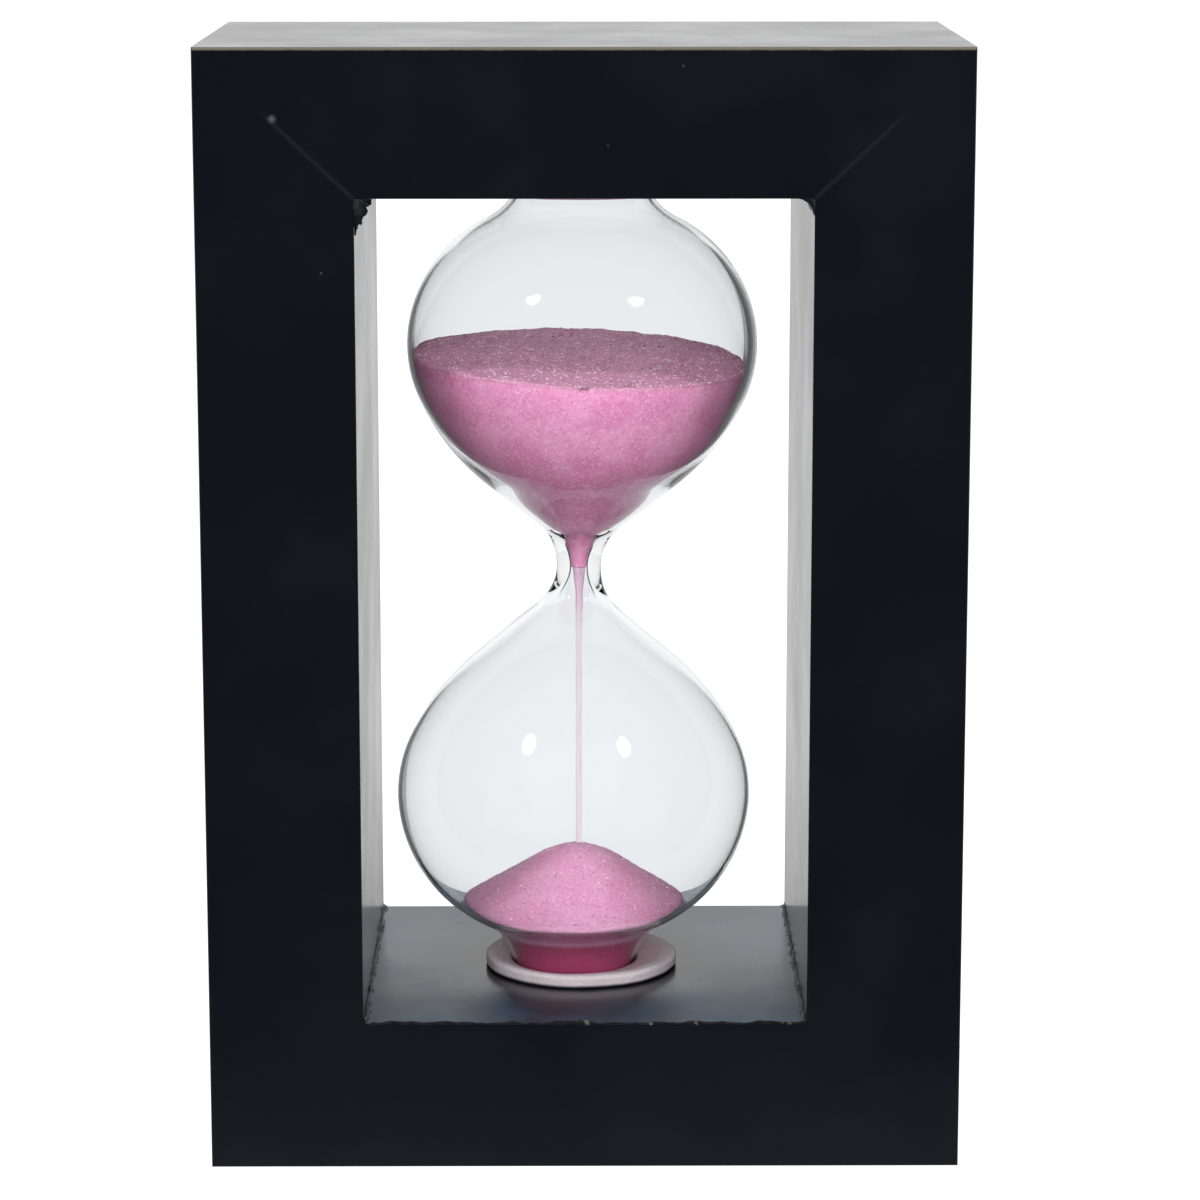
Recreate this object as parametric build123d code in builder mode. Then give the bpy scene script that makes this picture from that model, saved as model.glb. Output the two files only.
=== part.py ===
from build123d import *
import math
import os

# Sand timer: a blown glass vial held between the rails of a black lacquered wooden frame.
# Millimetres, +Z up. The origin is the centre of the base face, +Y is the back.

# Frame
frame_width = 101.0
frame_height = 150.5
frame_depth = 60.0
stile_width = 20.7
bottom_rail_height = 20.0
top_rail_height = 19.5
edge_radius = 0.4

# Corner brads, two at each mitre, driven through the stile into the end of the rail
brad_radius = 0.6
brad_head_radius = 0.9
brad_head_height = 0.5
brad_length = 30.0
brad_point_length = 1.2
brad_row_spacing = 36.0
brad_edge_distance = 6.5
filler_radius = 1.1
brad_set_depth = 2.0

# Sockets for the ends of the vial, with a cork disc at the bottom of each
socket_radius = 11.0
socket_depth = 12.0
disc_radius = 10.8
disc_thickness = 2.0
disc_clearance = 0.2

# Vial. Its axis leans to the left on the way down.
throat_x = -0.75
throat_z = 77.2
lean = 0.8
throat_radius = 0.8
waist_radius = 3.05
waist_bend_radius = 7.6
wall = 0.8
closed_end_thickness = 1.2
closed_end_radius = 3.0

# Each bulb runs from the waist bend along a straight flank into arcs of (radius, turn), and a
# shoulder that turns back to the straight tube.
upper_bulb = {
    "bend": 51.6,
    "flank": 9.2,
    "belly": ((32.0, 27.3), (18.2, 36.0), (19.5, 52.4)),
    "shoulder": 8.45,
}
lower_bulb = {
    "bend": 49.8,
    "flank": 10.5,
    "belly": ((35.5, 24.0), (18.3, 32.8), (20.5, 56.4)),
    "shoulder": 8.7,
}

# Stopper in the open upper end, through which the sand was poured
stopper_length = 9.0
stopper_clearance = 0.03
stopper_chamfer = 0.5

# Collars, the soft washers round the vial where it enters each rail
collar_radius = 13.2
collar_thickness = 1.8
collar_edge_radius = 0.4
collar_dish_share = 0.65
collar_dish_depth = 0.9
lower_collar_x = -0.45
lower_collar_hole_x = -0.9
collar_hole_radius = 9.4

# Sand
sand_gap = 0.05
upper_sand_level = 106.3
upper_sand_slope = 2.3
heap_peak_z = 37.1
heap_x = -0.8
heap_slope = 33.0
heap_crown_radius = 9.5
stream_top_radius = 0.5
stream_foot_radius = 0.22

# Worked out from the sizes above
half_width = frame_width / 2
window_half_width = half_width - stile_width
window_bottom = bottom_rail_height
window_top = frame_height - top_rail_height
socket_plane_top = Plane(origin=(0, 0, window_top), z_dir=(0, 0, -1))
socket_plane_bottom = Plane(origin=(0, 0, window_bottom))
vial_top = (window_top + socket_depth - disc_thickness - disc_clearance) - throat_z
vial_bottom = throat_z - (window_bottom - socket_depth + disc_thickness + disc_clearance)
lean_cos, lean_sin = math.cos(math.radians(lean)), math.sin(math.radians(lean))
# Local X of this plane is the vial's radius and local Y its axis, with the throat at the origin.
vial_plane = Plane(
    origin=(throat_x, 0, throat_z), x_dir=(lean_cos, 0, -lean_sin), z_dir=(0, -1, 0)
)
vial_axis = Axis(vial_plane.origin, vial_plane.y_dir)
throat_plane = Plane(vial_plane.origin, x_dir=vial_plane.x_dir, z_dir=vial_plane.y_dir)

os.makedirs("parts", exist_ok=True)


def save(piece, name):
    piece.part.label = name
    export_step(piece.part, f"parts/{name}.step")


# Frame members, mitred from the outer corners to the corners of the window


def mitred_member(corners, length_axis):
    with BuildPart() as member:
        with BuildSketch(Plane.XZ):
            Polygon(*corners, align=None)
        extrude(amount=frame_depth / 2, both=True)
        fillet(member.edges().filter_by(length_axis), radius=edge_radius)
    return member


# The planes of the brads, on the side faces, pointing out of the wood
brad_heights = (brad_edge_distance, frame_height - brad_edge_distance)
brad_planes = [
    Plane(origin=(side * half_width, row * brad_row_spacing / 2, height), z_dir=(side, 0, 0))
    for side in (-1, 1)
    for row in (-1, 1)
    for height in brad_heights
]
brad_hole_depth = brad_set_depth + brad_length


def rail(outer_z, inner_z, socket_plane):
    corners = [
        (-half_width, outer_z),
        (half_width, outer_z),
        (window_half_width, inner_z),
        (-window_half_width, inner_z),
    ]
    with BuildPart() as piece:
        add(mitred_member(corners, Axis.X))
        with Locations(socket_plane):
            Hole(radius=socket_radius, depth=socket_depth)
        with Locations(*brad_planes):
            Hole(radius=brad_radius, depth=brad_hole_depth)
    return piece


def stile(side):
    corners = [
        (side * half_width, 0),
        (side * half_width, frame_height),
        (side * window_half_width, window_top),
        (side * window_half_width, window_bottom),
    ]
    own_planes = [plane for plane in brad_planes if plane.origin.X * side > 0]
    with BuildPart() as piece:
        add(mitred_member(corners, Axis.Z))
        with Locations(*own_planes):
            CounterBoreHole(
                radius=brad_radius,
                counter_bore_radius=filler_radius,
                counter_bore_depth=brad_set_depth,
                depth=brad_hole_depth,
            )
    return piece


save(rail(frame_height, window_top, socket_plane_top), "top_rail")
save(rail(0, window_bottom, socket_plane_bottom), "bottom_rail")
save(stile(-1), "left_stile")
save(stile(1), "right_stile")

# Brads: a flat head on the floor of the set hole, a shank and a point
with BuildPart() as corner_brads:
    with BuildSketch(*[plane.offset(-brad_set_depth) for plane in brad_planes]):
        Circle(brad_radius)
    extrude(amount=-(brad_length - brad_point_length))
    with BuildSketch(*[plane.offset(-brad_set_depth) for plane in brad_planes]):
        Circle(brad_head_radius)
    extrude(amount=brad_head_height)
    point_depth = brad_set_depth + brad_length - brad_point_length
    with Locations(*[plane.offset(-point_depth) for plane in brad_planes]):
        Cone(
            bottom_radius=brad_radius / 4,
            top_radius=brad_radius,
            height=brad_point_length,
            align=(Align.CENTER, Align.CENTER, Align.MAX),
        )
save(corner_brads, "corner_brads")

# Wood filler over the brad heads, flush with the side faces
with BuildPart() as brad_fillers:
    with BuildSketch(*brad_planes):
        Circle(filler_radius)
    extrude(amount=-(brad_set_depth - brad_head_height))
save(brad_fillers, "brad_fillers")


# Vial


def trace_bulb(bulb, side, end, inset=0.0, throat=waist_radius):
    # Draws one bulb's outline from the waist to its tube end. Side is 1 upwards and -1 downwards,
    # end is the tube end's distance from the throat. An inset outline runs parallel to the outer
    # one from the flank onwards, and starts from its own radius at the throat.
    turn = math.radians(bulb["bend"])
    step_in = waist_radius - throat
    bend_change = (inset - step_in * math.cos(turn)) / (1 - math.cos(turn))
    flank_change = (step_in - bend_change) * math.sin(turn)
    bend = JernArc(
        start=(throat, 0),
        tangent=(0, side),
        radius=waist_bend_radius + bend_change,
        arc_size=-side * bulb["bend"],
    )
    last = Line(bend @ 1, bend @ 1 + (bend % 1) * (bulb["flank"] + flank_change))
    left_to_turn = bulb["bend"]
    for radius, arc_size in bulb["belly"]:
        last = JernArc(last @ 1, last % 1, radius - inset, side * arc_size)
        left_to_turn -= arc_size
    shoulder = JernArc(last @ 1, last % 1, bulb["shoulder"] + inset, side * left_to_turn)
    tube_end = Vector((shoulder @ 1).X, side * end)
    Line(shoulder @ 1, tube_end)
    return tube_end


with BuildPart() as glass_vial:
    with BuildSketch(vial_plane):
        with BuildLine():
            top = trace_bulb(upper_bulb, 1, vial_top)
            bottom = trace_bulb(lower_bulb, -1, vial_bottom)
            Polyline(top, (0, vial_top), (0, -vial_bottom), bottom)
        body = make_face()
        fillet(body.vertices().sort_by(Axis.Y)[:2].sort_by(Axis.X)[-1], radius=closed_end_radius)
    revolve(axis=vial_axis)
    cavity_bottom = vial_bottom - closed_end_thickness
    with BuildSketch(vial_plane):
        with BuildLine():
            top = trace_bulb(upper_bulb, 1, vial_top, wall, throat_radius)
            bottom = trace_bulb(lower_bulb, -1, cavity_bottom, wall, throat_radius)
            Polyline(top, (0, vial_top), (0, -cavity_bottom), bottom)
        cavity = make_face()
        inner_corner = cavity.vertices().sort_by(Axis.Y)[:2].sort_by(Axis.X)[-1]
        fillet(inner_corner, radius=closed_end_radius - wall)
    revolve(axis=vial_axis, mode=Mode.SUBTRACT)
tube_bore_radius = top.X
save(glass_vial, "glass_vial")

with BuildPart() as stopper:
    with BuildSketch(throat_plane.offset(vial_top)):
        Circle(tube_bore_radius - stopper_clearance)
    extrude(amount=-stopper_length)
    chamfer(stopper.edges().filter_by(GeomType.CIRCLE), length=stopper_chamfer)
save(stopper, "stopper")


# Cork discs in the sockets


def socket_disc(socket_plane):
    with BuildPart() as disc:
        with BuildSketch(socket_plane.offset(-socket_depth)):
            Circle(disc_radius)
        extrude(amount=disc_thickness)
    return disc


save(socket_disc(socket_plane_top), "upper_socket_disc")
save(socket_disc(socket_plane_bottom), "lower_socket_disc")


# Collars, dished towards the glass


def collar(plane, outer_x, hole_x):
    with BuildPart() as ring:
        with BuildSketch(plane):
            with Locations((outer_x, 0)):
                Circle(collar_radius)
            with Locations((hole_x, 0)):
                Circle(collar_hole_radius, mode=Mode.SUBTRACT)
        extrude(amount=collar_thickness)
        free_face = ring.faces().sort_by(Axis(plane.origin, plane.z_dir))[-1]
        rims = free_face.edges().sort_by(SortBy.LENGTH)
        dish_width = (collar_radius - collar_hole_radius) * collar_dish_share
        chamfer(rims[0], length=dish_width, length2=collar_dish_depth, reference=free_face)
        outer_rim = ring.edges().filter_by(GeomType.CIRCLE).sort_by(SortBy.RADIUS)[-2:]
        fillet(outer_rim.sort_by(Axis(plane.origin, plane.z_dir))[-1], radius=collar_edge_radius)
    return ring


save(collar(socket_plane_top, 0, 0), "upper_collar")
save(collar(socket_plane_bottom, lower_collar_x, lower_collar_hole_x), "lower_collar")

# Sand
sand_inset = wall + sand_gap
sand_throat = throat_radius - sand_gap

# The upper sand fills its bulb down to the throat. Its surface drops to the right.
surface_tilt = math.radians(upper_sand_slope)
sand_surface = Plane(
    origin=(0, 0, upper_sand_level), z_dir=(math.sin(surface_tilt), 0, math.cos(surface_tilt))
)
with BuildPart() as upper_sand:
    with BuildSketch(vial_plane):
        with BuildLine():
            top = trace_bulb(upper_bulb, 1, vial_top - stopper_length, sand_inset, sand_throat)
            Polyline(top, (0, top.Y), (0, 0), (sand_throat, 0))
        make_face()
    revolve(axis=vial_axis)
    split(bisect_by=sand_surface, keep=Keep.BOTTOM)
save(upper_sand, "upper_sand")

# The lower sand is what has run through: a heap at its natural slope with a rounded peak
heap_plane = Plane(origin=(heap_x, 0, heap_peak_z), x_dir=(1, 0, 0), z_dir=(0, -1, 0))
heap_reach = frame_depth / 2
sand_floor = cavity_bottom - sand_gap
with BuildPart() as lower_sand:
    with BuildSketch(vial_plane):
        with BuildLine():
            bottom = trace_bulb(lower_bulb, -1, sand_floor, sand_inset, sand_throat)
            Polyline(bottom, (0, -sand_floor), (0, 0), (sand_throat, 0))
        floor = make_face()
        floor_corner = floor.vertices().sort_by(Axis.Y)[:2].sort_by(Axis.X)[-1]
        fillet(floor_corner, radius=closed_end_radius - sand_inset)
    revolve(axis=vial_axis)
    with BuildSketch(heap_plane):
        with BuildLine():
            crown = JernArc((0, 0), (1, 0), heap_crown_radius, -heap_slope)
            slope = Line(crown @ 1, crown @ 1 + (crown % 1) * heap_reach)
            Polyline(slope @ 1, ((slope @ 1).X, -heap_peak_z), (0, -heap_peak_z), (0, 0))
        make_face()
    revolve(axis=Axis(heap_plane.origin, (0, 0, 1)), mode=Mode.INTERSECT)
save(lower_sand, "lower_sand")

# The falling stream, from the throat to the peak of the heap
stream_height = throat_z - heap_peak_z - 2 * sand_gap
with BuildPart() as sand_stream:
    with Locations((heap_x, 0, heap_peak_z + sand_gap)):
        Cone(
            bottom_radius=stream_foot_radius,
            top_radius=stream_top_radius,
            height=stream_height,
            align=(Align.CENTER, Align.CENTER, Align.MIN),
        )
save(sand_stream, "sand_stream")
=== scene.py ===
import math
import random
import bpy
import bmesh
from mathutils import Matrix, Vector, noise
from mathutils.bvhtree import BVHTree


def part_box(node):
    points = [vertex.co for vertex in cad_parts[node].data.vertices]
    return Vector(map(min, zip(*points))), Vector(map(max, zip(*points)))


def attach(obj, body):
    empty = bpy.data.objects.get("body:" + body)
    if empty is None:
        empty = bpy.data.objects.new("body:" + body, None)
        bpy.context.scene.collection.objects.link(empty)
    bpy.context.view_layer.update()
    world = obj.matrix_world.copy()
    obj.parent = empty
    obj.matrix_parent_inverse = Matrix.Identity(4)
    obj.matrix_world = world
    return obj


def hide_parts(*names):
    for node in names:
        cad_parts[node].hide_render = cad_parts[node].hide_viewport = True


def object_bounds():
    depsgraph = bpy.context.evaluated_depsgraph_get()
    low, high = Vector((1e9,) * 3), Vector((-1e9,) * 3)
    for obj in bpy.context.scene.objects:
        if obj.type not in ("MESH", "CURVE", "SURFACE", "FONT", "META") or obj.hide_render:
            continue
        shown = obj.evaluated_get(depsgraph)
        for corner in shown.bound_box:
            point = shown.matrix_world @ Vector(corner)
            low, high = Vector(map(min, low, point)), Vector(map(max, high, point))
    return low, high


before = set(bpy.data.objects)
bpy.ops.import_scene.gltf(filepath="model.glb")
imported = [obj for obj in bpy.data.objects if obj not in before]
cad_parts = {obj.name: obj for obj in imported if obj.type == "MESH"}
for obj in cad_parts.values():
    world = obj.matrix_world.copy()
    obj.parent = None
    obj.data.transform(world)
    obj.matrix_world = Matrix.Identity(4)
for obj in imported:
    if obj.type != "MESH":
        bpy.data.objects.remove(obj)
cadLow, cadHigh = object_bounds()
mm = 0.001
print("frame loaded", [round(v / mm, 1) for v in cadHigh - cadLow])


class Value:
    # One output socket. Arithmetic on it adds Math nodes to the same material.
    def __init__(self, paint, socket):
        self.paint = paint
        self.socket = socket

    def math(self, operation, first, second):
        return self.paint.add("ShaderNodeMath", {"operation": operation}, {0: first, 1: second})["Value"]

    def __add__(self, other):
        return self.math("ADD", self, other)

    def __sub__(self, other):
        return self.math("SUBTRACT", self, other)

    def __rsub__(self, other):
        return self.math("SUBTRACT", other, self)

    def __mul__(self, other):
        return self.math("MULTIPLY", self, other)

    def __pow__(self, other):
        return self.math("POWER", self, other)

    def __abs__(self):
        return self.math("ABSOLUTE", self, 0)

    __radd__ = __add__
    __rmul__ = __mul__


class Paint:
    # A material or world under construction
    def __init__(self, name, owner=None):
        self.owner = owner or bpy.data.materials.new(name)
        self.owner.use_nodes = True
        self.tree = self.owner.node_tree
        self.tree.nodes.clear()

    def add(self, kind, settings=None, sockets=None):
        node = self.tree.nodes.new(kind)
        for key, setting in (settings or {}).items():
            if key == "stops":
                elements = node.color_ramp.elements
                while len(elements) < len(setting):
                    elements.new(0.5)
                for element, (place, colour) in zip(elements, setting):
                    element.position = place
                    element.color = (*colour, 1)
            else:
                setattr(node, key, setting)
        for key, given in (sockets or {}).items():
            if isinstance(given, Value):
                self.tree.links.new(given.socket, node.inputs[key])
            elif isinstance(given, tuple) and node.inputs[key].type == "RGBA":
                node.inputs[key].default_value = (*given, 1)
            else:
                node.inputs[key].default_value = given
        return {out.name: Value(self, out) for out in node.outputs if out.enabled}

    def point(self):
        return self.add("ShaderNodeTexCoord")["Object"]

    def axes(self, point):
        parts = self.add("ShaderNodeSeparateXYZ", None, {"Vector": point})
        return parts["X"], parts["Y"], parts["Z"]

    def grain(self, point, size, detail=2, roughness=0.5):
        # Noise whose lumps are about size across
        sockets = {"Vector": point, "Scale": 1 / size, "Detail": detail, "Roughness": roughness}
        return self.add("ShaderNodeTexNoise", None, sockets)["Fac"]

    def cells(self, point, size, output="Distance"):
        return self.add("ShaderNodeTexVoronoi", None, {"Vector": point, "Scale": 1 / size})[output]

    def eachCell(self, point, size):
        # A random number for each cell
        tone = self.cells(point, size, "Color")
        return self.add("ShaderNodeSeparateColor", None, {"Color": tone})["Red"]

    def between(self, value, low, high, toLow=0, toHigh=1):
        # A smooth step from toLow at low to toHigh at high
        settings = {"interpolation_type": "SMOOTHSTEP", "clamp": True}
        sockets = {"Value": value, "From Min": low, "From Max": high, "To Min": toLow, "To Max": toHigh}
        return self.add("ShaderNodeMapRange", settings, sockets)["Result"]

    def ramp(self, value, stops):
        return self.add("ShaderNodeValToRGB", {"stops": stops}, {"Fac": value})["Color"]

    def mix(self, factor, first, second):
        # Sockets 6 and 7 are the two colours
        return self.add("ShaderNodeMix", {"data_type": "RGBA"}, {0: factor, 6: first, 7: second})["Result"]

    def stretch(self, point, scale):
        return self.add("ShaderNodeMapping", None, {"Vector": point, "Scale": scale})["Vector"]

    def bump(self, height, distance, strength=1.0, normal=None):
        sockets = {"Height": height, "Distance": distance, "Strength": strength}
        if normal:
            sockets["Normal"] = normal
        return self.add("ShaderNodeBump", None, sockets)["Normal"]

    def surface(self, shader):
        self.add("ShaderNodeOutputMaterial", None, {"Surface": shader})
        return self.owner

    def principled(self, sockets):
        return self.surface(self.add("ShaderNodeBsdfPrincipled", None, sockets)["BSDF"])


def coat(name, material):
    # Gives a CAD node its finish
    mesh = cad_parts[name].data
    mesh.materials.clear()
    mesh.materials.append(material)


# Black lacquer

lacquer = {
    "deep": (0.0021, 0.0036, 0.0060),
    "thin": (0.0033, 0.0050, 0.0078),
    "olive": (0.115, 0.105, 0.075),
    "brown": (0.060, 0.040, 0.026),
    "dust": (0.12, 0.12, 0.13),
    "seamTone": (0.0065, 0.0085, 0.013),
    "ior": 1.5,
    "roughness": (0.16, 0.24),
    "cloud": 22 * mm,
    "peel": 1.4 * mm,
    "peelHeight": 0.005 * mm,
    "ragged": 1.1 * mm,
    "wearWidth": 0.42 * mm,
    "wearFade": 0.15 * mm,
    "oliveToBrown": (0.18 * mm, 0.34 * mm),
    "wornRoughness": 0.45,
    "speck": 5.5 * mm,
    "speckSize": (0.045, 0.02),
    "speckPatch": 30 * mm,
    "nib": (-40.2 * mm, 141.3 * mm),
    "nibRadius": 0.75 * mm,
    "nibHeight": 0.1 * mm,
    "mitreInner": (29.8 * mm, 131.0 * mm),
    "mitreRun": (20.7, 19.5),
    "seamWidth": (0.45 * mm, 0.05 * mm),
    "seamEnds": (43 * mm, 39 * mm),
    "floorZ": 20 * mm,
    "floorSide": 29.8 * mm,
    # a paler, bluer tone for the window floor away from the collar
    "paleFloorTone": (0.018, 0.048, 0.085),
    "collarCentreOffset": 0.45 * mm,
    "paleFromCollar": (13 * mm, 26 * mm),
    "smudge": 9 * mm,
    "scuff": 0.19,
    "scuffReach": (12 * mm, -26 * mm),
    "smudgeScuff": 0.08,
}


def onFront(paint, y):
    # 1 on the front faces, fading to 0 just behind them
    return paint.between(y, cadLow.y + 0.3 * mm, cadLow.y + 0.1 * mm)


def mitreSeam(paint, x, y, z):
    # The two mitres at the top show on the front as faint lines that fade before the outer corner
    runX, runZ = lacquer["mitreRun"]
    long = math.hypot(runX, runZ)
    innerX, innerZ = lacquer["mitreInner"]
    offLine = abs((abs(x) - innerX) * (runZ / long) - (z - innerZ) * (runX / long))
    line = paint.between(offLine, *lacquer["seamWidth"])
    fade = paint.between(abs(x), *lacquer["seamEnds"])
    return line * fade * onFront(paint, y) * paint.between(z, innerZ - 0.1 * mm, innerZ)


def makeLacquer():
    paint = Paint("satinBlackLacquer")
    point = paint.point()
    x, y, z = paint.axes(point)
    cloud = paint.grain(point, lacquer["cloud"], 3)
    colour = paint.mix(paint.between(cloud, 0.35, 0.7), lacquer["deep"], lacquer["thin"])
    # the lacquer has rubbed thin along the upper front and back arrises
    ragged = paint.grain(point, lacquer["ragged"], 4, 0.6)
    arris = (cadHigh.z - z) + (cadHigh.y - abs(y)) - ragged * 0.15 * mm
    worn = paint.between(arris, lacquer["wearWidth"], lacquer["wearWidth"] - lacquer["wearFade"])
    fringe = paint.mix(paint.between(arris, *lacquer["oliveToBrown"]), lacquer["olive"], lacquer["brown"])
    colour = paint.mix(worn, colour, fringe)
    seam = mitreSeam(paint, x, y, z)
    colour = paint.mix(seam, colour, lacquer["seamTone"])
    # a few pale specks of dust in the coat, and one larger nib on the top left corner
    dot = paint.cells(point, lacquer["speck"])
    patch = paint.grain(point, lacquer["speckPatch"], 1)
    dust = paint.between(dot, *lacquer["speckSize"]) * paint.between(patch, 0.5, 0.62)
    nibX, nibZ = lacquer["nib"]
    fromNib = ((x - nibX) ** 2 + (z - nibZ) ** 2) ** 0.5
    nib = paint.between(fromNib, lacquer["nibRadius"], 0) * onFront(paint, y)
    colour = paint.mix(dust * 0.5 + nib * 0.5, colour, lacquer["dust"])
    # the floor of the window is paler and bluer away from the collar and darker close round it, and duller
    # towards the front
    onFloor = paint.between(abs(z - lacquer["floorZ"]), 0.3 * mm, 0.1 * mm)
    onFloor = onFloor * paint.between(abs(x), lacquer["floorSide"], lacquer["floorSide"] - 0.1 * mm)
    onFloor = onFloor * paint.between(y, cadLow.y + 0.1 * mm, cadLow.y + 0.4 * mm)
    fromCollar = ((x + lacquer["collarCentreOffset"]) ** 2 + y ** 2) ** 0.5
    onFloor = onFloor * paint.between(fromCollar, *lacquer["paleFromCollar"])
    smudge = paint.grain(point, lacquer["smudge"], 5, 0.62)
    colour = paint.mix(onFloor * paint.between(smudge, 0.3, 0.7, 0.25, 1.0), colour, lacquer["paleFloorTone"])
    scuff = paint.between(y, *lacquer["scuffReach"]) * lacquer["scuff"]
    scuff = scuff + paint.between(smudge, 0.4, 0.7) * lacquer["smudgeScuff"]
    peel = paint.grain(point, lacquer["peel"], 3)
    low, high = lacquer["roughness"]
    dull = paint.between(cloud + peel * 0.4, 0.4, 0.95, low, high)
    raised = paint.bump(nib + seam * 0.08, lacquer["nibHeight"])
    sockets = {
        "Base Color": colour,
        "Roughness": dull + worn * lacquer["wornRoughness"] + onFloor * scuff,
        "IOR": lacquer["ior"],
        "Normal": paint.bump(peel, lacquer["peelHeight"], 1.0, raised),
    }
    return paint.principled(sockets)


blackLacquer = makeLacquer()
for name in ("top_rail", "bottom_rail", "left_stile", "right_stile", "brad_fillers"):
    coat(name, blackLacquer)
print("frame members lacquered")


# Small hidden fittings

cork = {
    "crumbTones": ((0.0, (0.20, 0.10, 0.045)), (0.45, (0.42, 0.25, 0.12)), (0.8, (0.58, 0.39, 0.21))),
    "crumb": 1.1 * mm,
    "crumbDepth": 0.08 * mm,
    "shade": 0.5 * mm,
    "roughness": 0.85,
}
brads = {
    "steel": (0.56, 0.56, 0.55),
    "drawnLine": 0.12 * mm,
    "roughness": (0.25, 0.45),
}


def makeCork():
    paint = Paint("pressedCork")
    point = paint.point()
    crumb = paint.cells(point, cork["crumb"])
    shade = paint.grain(point, cork["shade"], 3)
    sockets = {
        "Base Color": paint.ramp(crumb * 0.6 + shade * 0.5, cork["crumbTones"]),
        "Roughness": cork["roughness"],
        "Normal": paint.bump(crumb, cork["crumbDepth"]),
    }
    return paint.principled(sockets)


def makeBradSteel():
    paint = Paint("bradWire")
    drawn = paint.grain(paint.stretch(paint.point(), (0.05, 1, 1)), brads["drawnLine"], 2)
    sockets = {
        "Base Color": brads["steel"],
        "Metallic": 1.0,
        "Roughness": paint.between(drawn, 0.3, 0.7, *brads["roughness"]),
    }
    return paint.principled(sockets)


pressedCork = makeCork()
for name in ("stopper", "upper_socket_disc", "lower_socket_disc"):
    coat(name, pressedCork)
coat("corner_brads", makeBradSteel())
print("fittings done")


# Vial, drawn as an outline with arcs and spun round its axis

vial = {
    "throatZ": 77.2 * mm,
    "waistX": -0.75 * mm,
    "upperX": -0.25 * mm,
    "lowerX": -1.5 * mm,
    "shearReach": 9 * mm,
    "waistRadius": 3.05 * mm,
    "boreRadius": 1.1 * mm,
    "waistBend": 7.6 * mm,
    "wall": 0.8 * mm,
    "closedEnd": 1.2 * mm,
    "endGap": 0.1 * mm,
    "around": 150,
    "arcStep": 1.6,
    "flankCuts": 10,
    "tubeCuts": 6,
    "tint": (0.958, 0.976, 0.989),
    "ior": 1.24,
    "wave": 8 * mm,
    "waveDepth": 0.02 * mm,
    "ledgeRise": 11.2 * mm,
    "ledgeReach": 3.6 * mm,
    "ledgeDepth": 0.6 * mm,
    "bellyStart": 14 * mm,
    "bellyEnd": 50 * mm,
    "bellyBlend": 9 * mm,
    "bellyExtra": 0.12 * mm,
    "heavySide": 0.26 * mm,
    "footThin": 0.28 * mm,
    "footStart": 5 * mm,
    "footBlend": 14 * mm,
    "footCore": 5 * mm,
    "bellyCore": 3 * mm,
    "wander": 0.10 * mm,
    "wanderSize": 40 * mm,
}
# From the waist out: the bend's angle, the flank's length, the belly's arcs as radius and angle, and the
# shoulder's radius, in degrees and mm
upperBulb = {
    "bend": 51.6,
    "flank": 9.2,
    "belly": ((32.0, 27.3), (18.2, 36.0), (19.5, 52.4)),
    "shoulder": 8.45,
}
lowerBulb = {
    "bend": 49.8,
    "flank": 10.5,
    "belly": ((35.5, 24.0), (18.3, 32.8), (20.5, 56.4)),
    "shoulder": 8.7,
}
vialLow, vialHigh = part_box("glass_vial")
tubeTop = vialHigh.z - vial["endGap"]
tubeBottom = vialLow.z + vial["endGap"]
tubeFloor = tubeBottom + vial["closedEnd"]
weld = 0.002 * mm


def swing(bm, vert, heading, radius, turn):
    # Sweeps the last vertex along an arc; turn is in degrees, positive to the left
    beside = Vector((-heading.z, 0, heading.x)) * math.copysign(radius, turn)
    steps = max(2, round(abs(turn) / vial["arcStep"]))
    angle = math.radians(turn)
    swept = bmesh.ops.spin(
        bm, geom=[vert], cent=vert.co + beside, axis=(0, -1, 0), angle=angle, steps=steps
    )
    last = [g for g in swept["geom_last"] if isinstance(g, bmesh.types.BMVert)][0]
    return last, Matrix.Rotation(angle, 3, (0, -1, 0)) @ heading


def reach(bm, vert, step, cuts=1):
    # Draws a straight stretch from the last vertex
    for cut in range(cuts):
        made = bmesh.ops.extrude_vert_indiv(bm, verts=[vert])["verts"][0]
        made.co = vert.co + step / cuts
        vert = made
    return vert


def traceBulb(bm, bulb, side, end, inset=0.0, throat=None):
    # One bulb's outline from the throat to the axis at height end, drawn inset inside the outer one
    throat = throat or vial["waistRadius"]
    turn = math.radians(bulb["bend"])
    stepIn = vial["waistRadius"] - throat
    bendChange = (inset - stepIn * math.cos(turn)) / (1 - math.cos(turn))
    flankChange = (stepIn - bendChange) * math.sin(turn)
    start = bm.verts.new((throat, 0, vial["throatZ"]))
    bendRadius = vial["waistBend"] + bendChange
    vert, heading = swing(bm, start, Vector((0, 0, side)), bendRadius, -side * bulb["bend"])
    vert = reach(bm, vert, heading * (bulb["flank"] * mm + flankChange), vial["flankCuts"])
    leftToTurn = bulb["bend"]
    for radius, arcSize in bulb["belly"]:
        vert, heading = swing(bm, vert, heading, radius * mm - inset, side * arcSize)
        leftToTurn -= arcSize
    vert, heading = swing(bm, vert, heading, bulb["shoulder"] * mm + inset, side * leftToTurn)
    vert = reach(bm, vert, Vector((0, 0, end - vert.co.z)), vial["tubeCuts"])
    reach(bm, vert, Vector((-vert.co.x, 0, 0)), vial["tubeCuts"])


def ease(value):
    value = min(1, max(0, value))
    return value * value * (3 - 2 * value)


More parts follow.
